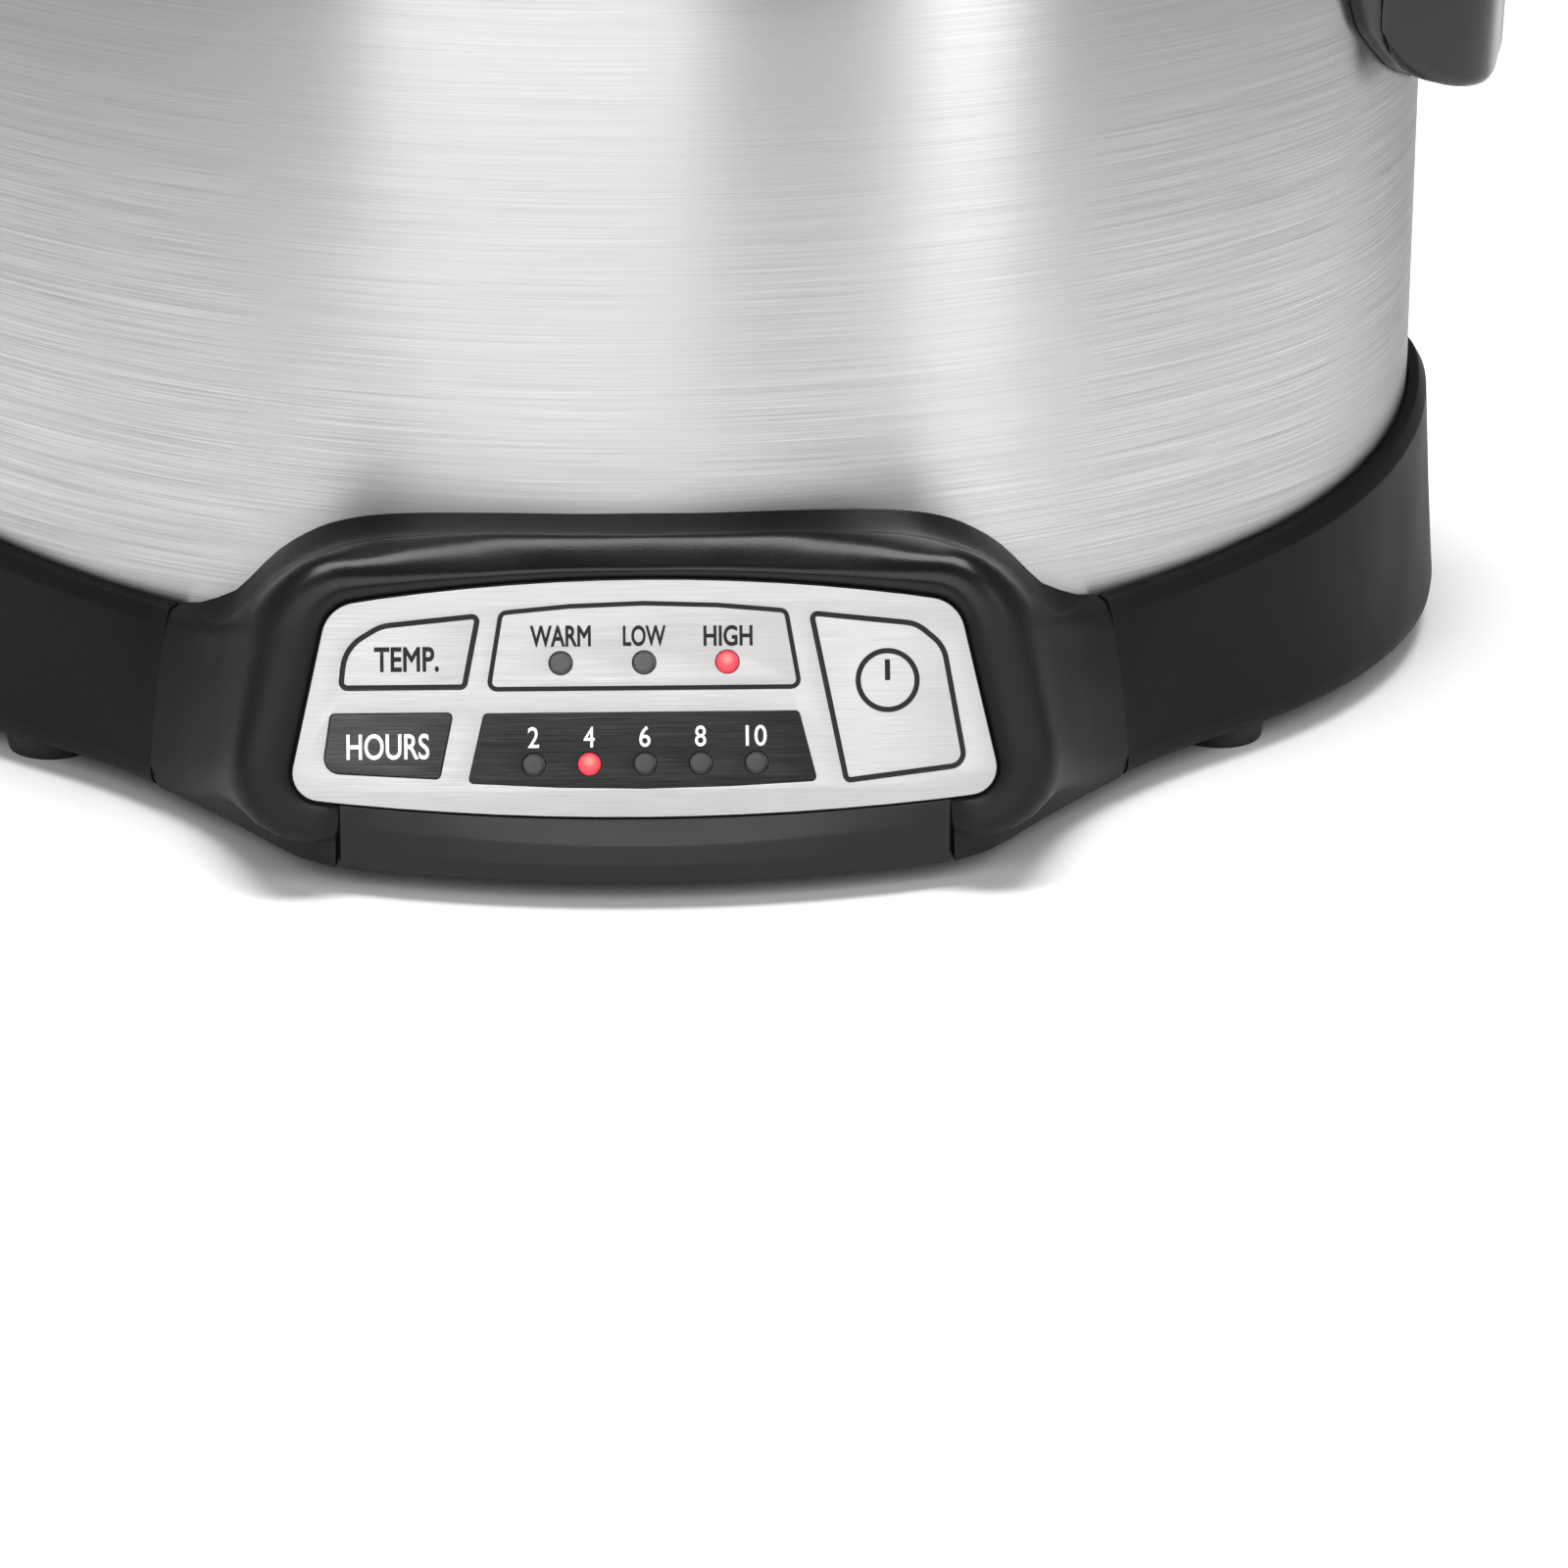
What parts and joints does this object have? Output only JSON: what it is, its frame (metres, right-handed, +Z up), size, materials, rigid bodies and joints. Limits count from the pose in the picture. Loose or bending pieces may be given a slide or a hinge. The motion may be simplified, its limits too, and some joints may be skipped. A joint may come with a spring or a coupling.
{
  "type": "slow cooker",
  "caption": "Oval programmable slow cooker: steel-wrapped heating base with sloping control panel, side grips, lift-out stoneware crock and domed glass lid with knob.",
  "frame": {"origin": "centre of the footprint on the surface the feet stand on", "axes": "+X to the right along the oval's long way, +Y to the back, +Z up; the panel faces -Y"},
  "size_m": [0.31, 0.2736, 0.2157],
  "materials": {
    "skirt_plastic": "satin moulded",
    "housing_plastic": "satin moulded",
    "trim_plastic": "satin moulded",
    "panel_silver": "silver, fine brushed",
    "window_silver": "silver printed",
    "window_black": "gloss black",
    "lens_dark": "clear lens, unlit",
    "lens_lit": "lit red lens",
    "board_green": "solder mask",
    "screw_steel": "zinc plated",
    "led_resin": "clear resin",
    "switch_plastic": "moulded",
    "wrap_steel": "brushed around the body",
    "well_aluminised": "drawn sheet",
    "heater_mica": "mica band",
    "clamp_steel": "zinc plated",
    "fuse_brass": "plain",
    "cup_aluminium": "drawn",
    "spring_steel": "drawn wire",
    "bracket_steel": "zinc plated",
    "bottom_steel": "plain sheet",
    "foot_rubber": "moulded",
    "board_tan": "paper laminate",
    "standoff_nylon": "nylon",
    "relay_plastic": "moulded",
    "supply_plastic": "moulded",
    "terminal_nylon": "nylon",
    "gland_plastic": "nylon",
    "lead_white": "silicone sleeve",
    "lead_red": "silicone sleeve",
    "lead_black": "silicone sleeve",
    "ribbon_grey": "flat ribbon",
    "handle_base_plastic": "satin moulded",
    "handle_grip_plastic": "semi-gloss moulded",
    "key_silver": "silver printed",
    "key_black": "black printed",
    "crock_glaze": "black glazed stoneware",
    "lid_glass": "clear tempered",
    "rim_steel": "polished rolled band",
    "gasket_rubber": "silicone",
    "knob_phenolic": "satin phenolic",
    "washer_steel": "fibre washer"
  },
  "bodies": {
    "base": {"base_skirt": "skirt_plastic", "control_housing": "housing_plastic", "lower_trim": "trim_plastic", "panel_plate": "panel_silver", "heat_window": "window_silver", "hours_window": "window_black", "dark_lenses": "lens_dark", "lit_lenses": "lens_lit", "control_board": "board_green", "board_screws": "screw_steel", "leds": "led_resin", "tact_switches": "switch_plastic", "housing_screws": "screw_steel", "outer_wrap": "wrap_steel", "heating_well": "well_aluminised", "band_heater": "heater_mica", "heater_clamp": "clamp_steel", "thermal_fuse": "fuse_brass", "sensor_cup": "cup_aluminium", "sensor_spring": "spring_steel", "sensor_bracket": "bracket_steel", "bottom_plate": "bottom_steel", "bottom_screws": "screw_steel", "rubber_feet": "foot_rubber", "centre_bolt": "screw_steel", "centre_nut": "screw_steel", "power_board": "board_tan", "board_standoffs": "standoff_nylon", "power_board_screws": "screw_steel", "relay": "relay_plastic", "power_supply": "supply_plastic", "terminal_block": "terminal_nylon", "cord_gland": "gland_plastic", "mains_leads": "lead_white", "heater_leads": "lead_red", "sensor_leads": "lead_black", "panel_ribbon": "ribbon_grey", "handle_base_left": "handle_base_plastic", "handle_base_right": "handle_base_plastic", "handle_grip_left": "handle_grip_plastic", "handle_grip_right": "handle_grip_plastic", "handle_screws": "screw_steel"},
    "temp_key": {"temp_key": "key_silver"},
    "hours_key": {"hours_key": "key_black"},
    "power_key": {"power_key": "key_silver"},
    "crock": {"crock": "crock_glaze"},
    "lid": {"lid_glass": "lid_glass", "lid_rim_band": "rim_steel", "knob_gasket": "gasket_rubber", "lid_knob": "knob_phenolic", "knob_washer": "washer_steel", "knob_screw": "screw_steel"}
  },
  "joints": [
    {"name": "crock_lift", "type": "slide", "parent": "base", "child": "crock", "axis": [0, 0, 1], "range_m": [0, 0.16]},
    {"name": "lid_lift", "type": "slide", "parent": "crock", "child": "lid", "axis": [0, 0, 1], "range_m": [0, 0.12]},
    {"name": "temp_key_press", "type": "slide", "parent": "base", "child": "temp_key", "axis": [0, 0.9135, -0.4067], "range_m": [0, 0.0006], "stiffness_N_per_m": 600},
    {"name": "hours_key_press", "type": "slide", "parent": "base", "child": "hours_key", "axis": [0, 0.9135, -0.4067], "range_m": [0, 0.0006], "stiffness_N_per_m": 600},
    {"name": "power_key_press", "type": "slide", "parent": "base", "child": "power_key", "axis": [0, 0.9135, -0.4067], "range_m": [0, 0.0006], "stiffness_N_per_m": 600}
  ]
}
